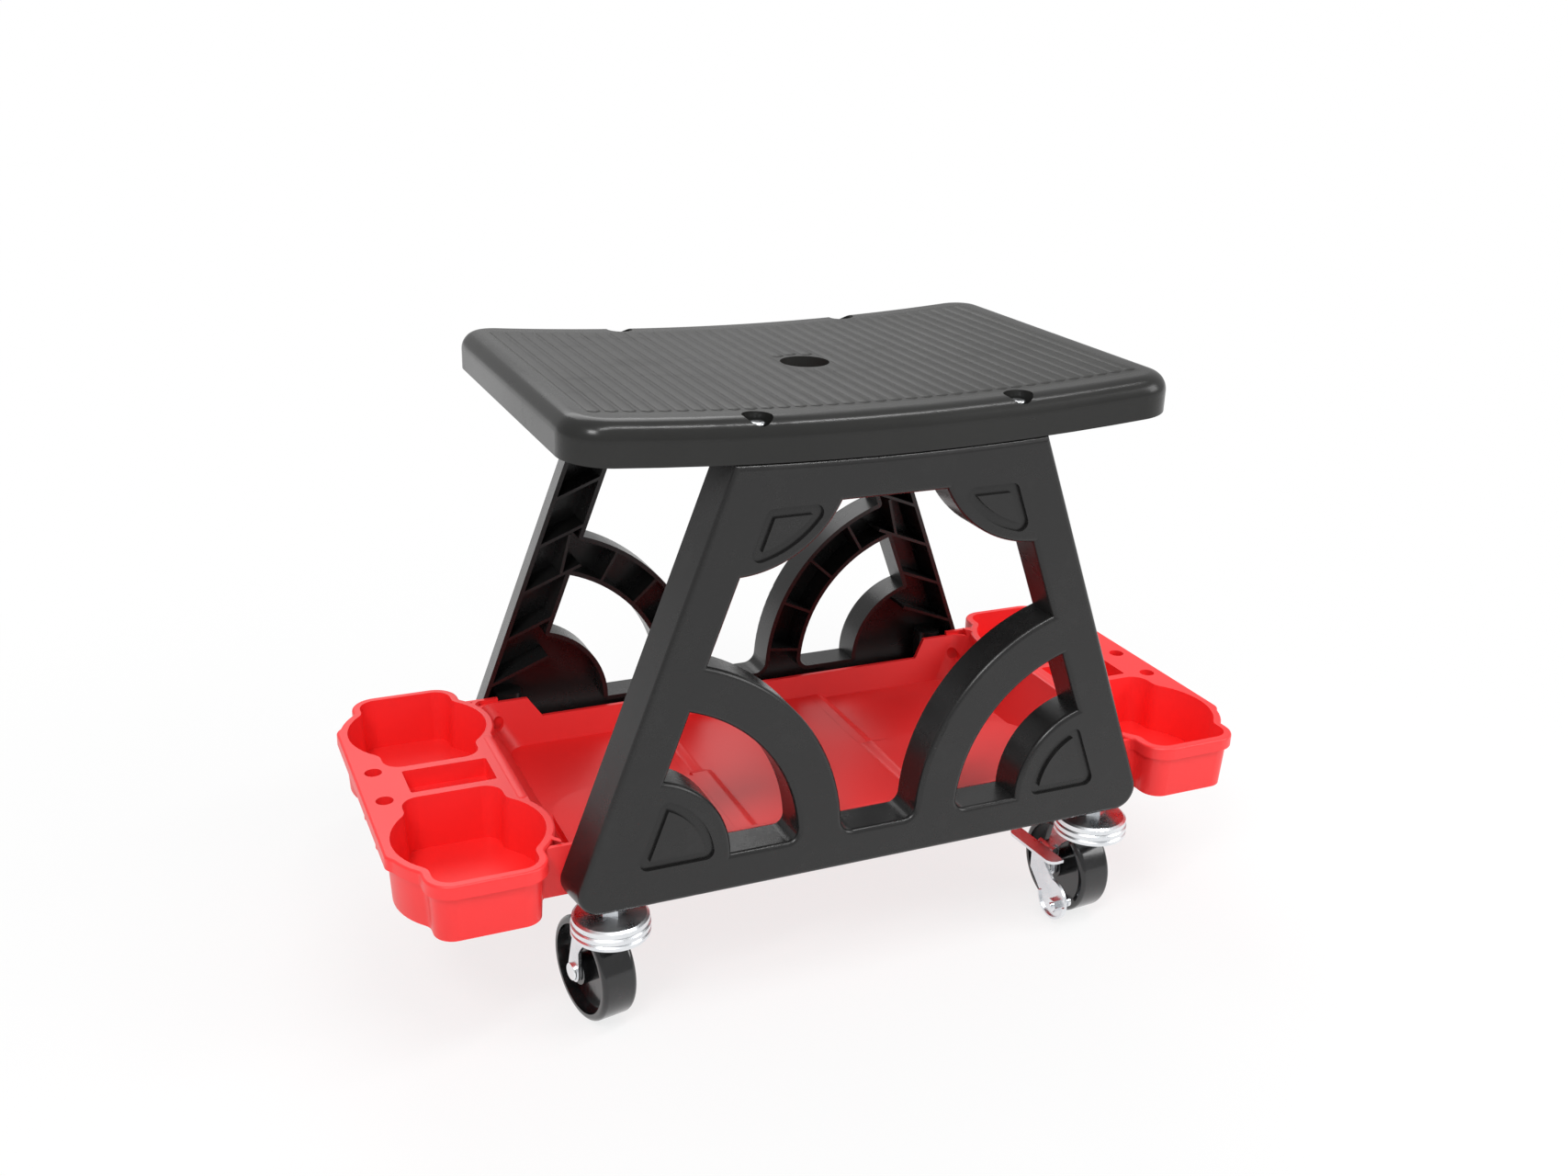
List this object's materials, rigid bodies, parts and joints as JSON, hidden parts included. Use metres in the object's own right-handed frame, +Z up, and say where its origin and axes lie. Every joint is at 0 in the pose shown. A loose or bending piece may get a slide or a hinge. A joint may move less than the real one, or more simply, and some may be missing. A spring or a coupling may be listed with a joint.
{
  "type": "rolling workshop stool",
  "caption": "Low rolling workshop stool: dished moulded seat on arched side frames, a tool tray between them with a cup wing at each end, and swivel casters with side brakes.",
  "frame": {"origin": "on the floor under the middle of the stool", "axes": "+X along the stool from one cup wing to the other, +Y to the back, +Z up; brakes at the +X end"},
  "size_m": [0.5612, 0.2732, 0.3664],
  "materials": {
    "seat_plastic": "fine grain with moulded ribs, satin",
    "frame_plastic": "fine moulded grain, satin",
    "tray_plastic": "smooth moulded, semi-gloss",
    "wheel_plastic": "polished hard plastic",
    "zinc_plate": "bright zinc plated sheet",
    "bright_zinc": "bright zinc plated, turned",
    "black_steel": "black oxide",
    "insert_brass": "turned"
  },
  "bodies": {
    "base": {"front_frame": "frame_plastic", "rear_frame": "frame_plastic", "seat": "seat_plastic", "seat_screws": "bright_zinc", "tool_tray": "tray_plastic", "tray_screws": "black_steel", "tray_plugs": "tray_plastic", "stem_inserts": "insert_brass", "front_left_stem": "bright_zinc", "front_left_race": "zinc_plate", "front_left_bearing": "bright_zinc", "front_right_stem": "bright_zinc", "front_right_race": "zinc_plate", "front_right_bearing": "bright_zinc", "rear_left_stem": "bright_zinc", "rear_left_race": "zinc_plate", "rear_left_bearing": "bright_zinc", "rear_right_stem": "bright_zinc", "rear_right_race": "zinc_plate", "rear_right_bearing": "bright_zinc"},
    "front_left_swivel": {"front_left_fork": "zinc_plate", "front_left_axle": "bright_zinc"},
    "front_left_roller": {"front_left_wheel": "wheel_plastic"},
    "front_right_swivel": {"front_right_fork": "zinc_plate", "front_right_axle": "bright_zinc", "front_right_brake_pin": "bright_zinc"},
    "front_right_roller": {"front_right_wheel": "wheel_plastic"},
    "front_right_brake": {"front_right_brake_lever": "zinc_plate", "front_right_brake_bolt": "bright_zinc"},
    "rear_left_swivel": {"rear_left_fork": "zinc_plate", "rear_left_axle": "bright_zinc"},
    "rear_left_roller": {"rear_left_wheel": "wheel_plastic"},
    "rear_right_swivel": {"rear_right_fork": "zinc_plate", "rear_right_axle": "bright_zinc", "rear_right_brake_pin": "bright_zinc"},
    "rear_right_roller": {"rear_right_wheel": "wheel_plastic"},
    "rear_right_brake": {"rear_right_brake_lever": "zinc_plate", "rear_right_brake_bolt": "bright_zinc"}
  },
  "joints": [
    {"name": "front_left_turn", "type": "hinge", "parent": "base", "child": "front_left_swivel", "pos_m": [-0.1622, -0.1136, 0.0727], "axis": [0, 0, 1], "continuous": true},
    {"name": "front_left_roll", "type": "hinge", "parent": "front_left_swivel", "child": "front_left_roller", "pos_m": [-0.16594, -0.09436, 0.03175], "axis": [-0.9816, -0.1908, 0], "continuous": true},
    {"name": "front_right_turn", "type": "hinge", "parent": "base", "child": "front_right_swivel", "pos_m": [0.1622, -0.1136, 0.0727], "axis": [0, 0, 1], "continuous": true},
    {"name": "front_right_roll", "type": "hinge", "parent": "front_right_swivel", "child": "front_right_roller", "pos_m": [0.16083, -0.09405, 0.03175], "axis": [-0.9976, -0.0698, 0], "continuous": true},
    {"name": "front_right_brake_press", "type": "hinge", "parent": "front_right_swivel", "child": "front_right_brake", "pos_m": [0.14321, -0.09668, 0.047], "axis": [-0.0698, 0.9976, 0], "range_deg": [-5, 0]},
    {"name": "rear_left_turn", "type": "hinge", "parent": "base", "child": "rear_left_swivel", "pos_m": [-0.1622, 0.1136, 0.0727], "axis": [0, 0, 1], "continuous": true},
    {"name": "rear_left_roll", "type": "hinge", "parent": "rear_left_swivel", "child": "rear_left_roller", "pos_m": [-0.16493, 0.09419, 0.03175], "axis": [0.9903, -0.1392, 0], "continuous": true},
    {"name": "rear_right_turn", "type": "hinge", "parent": "base", "child": "rear_right_swivel", "pos_m": [0.1622, 0.1136, 0.0727], "axis": [0, 0, 1], "continuous": true},
    {"name": "rear_right_roll", "type": "hinge", "parent": "rear_right_swivel", "child": "rear_right_roller", "pos_m": [0.16493, 0.09419, 0.03175], "axis": [0.9903, 0.1392, 0], "continuous": true},
    {"name": "rear_right_brake_press", "type": "hinge", "parent": "rear_right_swivel", "child": "rear_right_brake", "pos_m": [0.18232, 0.09805, 0.047], "axis": [0.1392, -0.9903, 0], "range_deg": [-5, 0]}
  ]
}
